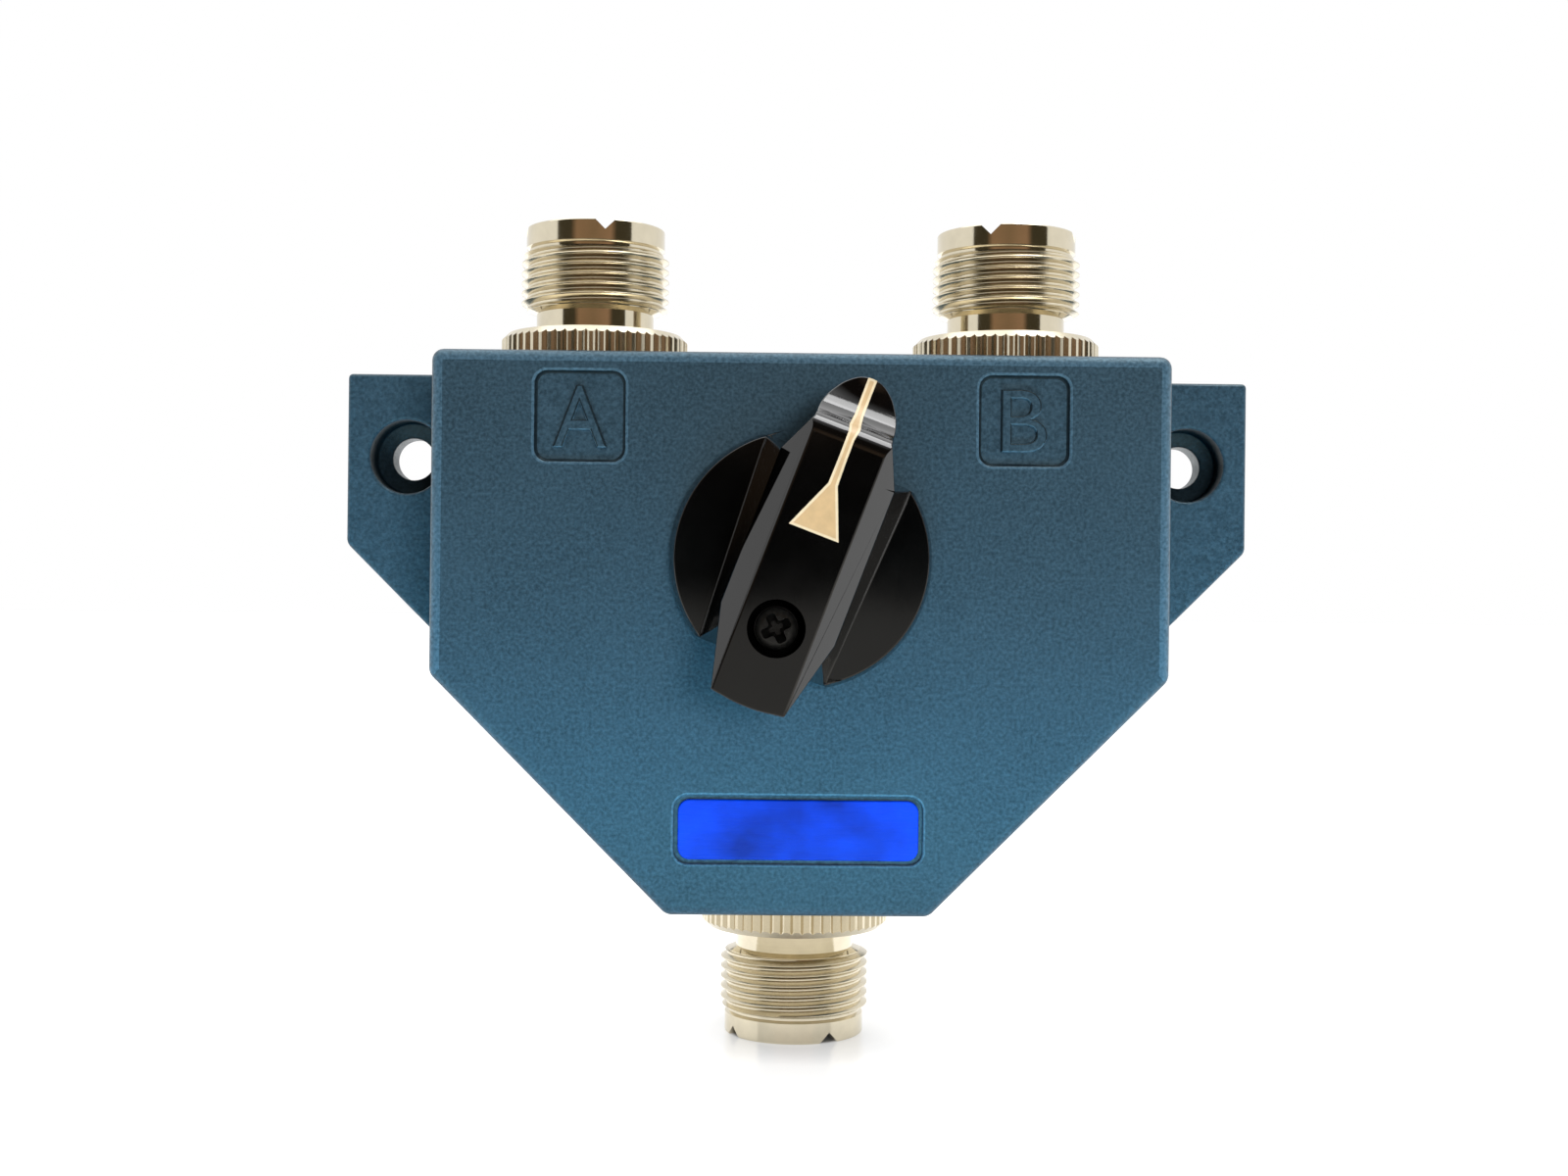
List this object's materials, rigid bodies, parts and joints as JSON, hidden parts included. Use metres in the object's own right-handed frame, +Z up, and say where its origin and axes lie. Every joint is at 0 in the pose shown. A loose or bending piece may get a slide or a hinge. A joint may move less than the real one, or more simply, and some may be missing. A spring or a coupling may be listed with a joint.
{
  "type": "coaxial antenna switch",
  "caption": "Two-way coaxial antenna switch: die-cast box with mounting ears, UHF ports above and below and a pointer knob that selects port A or B.",
  "frame": {"origin": "on the mounting plane (the flat back), midway between the two screw holes of the ears", "axes": "+X to the right as seen from the front, +Y to the back, +Z up towards ports A and B"},
  "size_m": [0.1014, 0.048, 0.0862],
  "materials": {
    "blue_paint": "fine textured teal blue paint on a die casting",
    "nickel": "bright nickel plate",
    "steel": "zinc plated",
    "black_steel": "black oxide",
    "badge_blue": "glossy blue plate",
    "brass": "plain spring brass",
    "silvered_brass": "plated",
    "ptfe": "white PTFE",
    "acetal": "natural acetal",
    "knob_black": "polished black phenolic",
    "ivory": "ivory filled inlay"
  },
  "bodies": {
    "housing": {"housing": "blue_paint", "rear_cover": "blue_paint", "cover_screws": "steel", "badge_plate": "badge_blue", "port_a_ring": "nickel", "port_a_shell": "nickel", "port_a_insulator": "ptfe", "port_a_contact": "silvered_brass", "port_b_ring": "nickel", "port_b_shell": "nickel", "port_b_insulator": "ptfe", "port_b_contact": "silvered_brass", "port_common_ring": "nickel", "port_common_shell": "nickel", "port_common_insulator": "ptfe", "port_common_contact": "silvered_brass", "port_a_strap": "brass", "port_b_strap": "brass", "common_strap": "brass", "stop_pin": "steel", "detent_ball": "steel", "detent_spring": "steel"},
    "selector": {"knob": "knob_black", "pointer_inlay": "ivory", "knob_screw": "black_steel", "rotor": "acetal", "moving_blade": "brass", "pivot_rivet": "brass"}
  },
  "joints": [
    {"name": "knob_turn", "type": "hinge", "parent": "housing", "child": "selector", "pos_m": [0, -0.032, -0.0115], "axis": [0, -1, 0], "range_deg": [0, 41.4]}
  ]
}
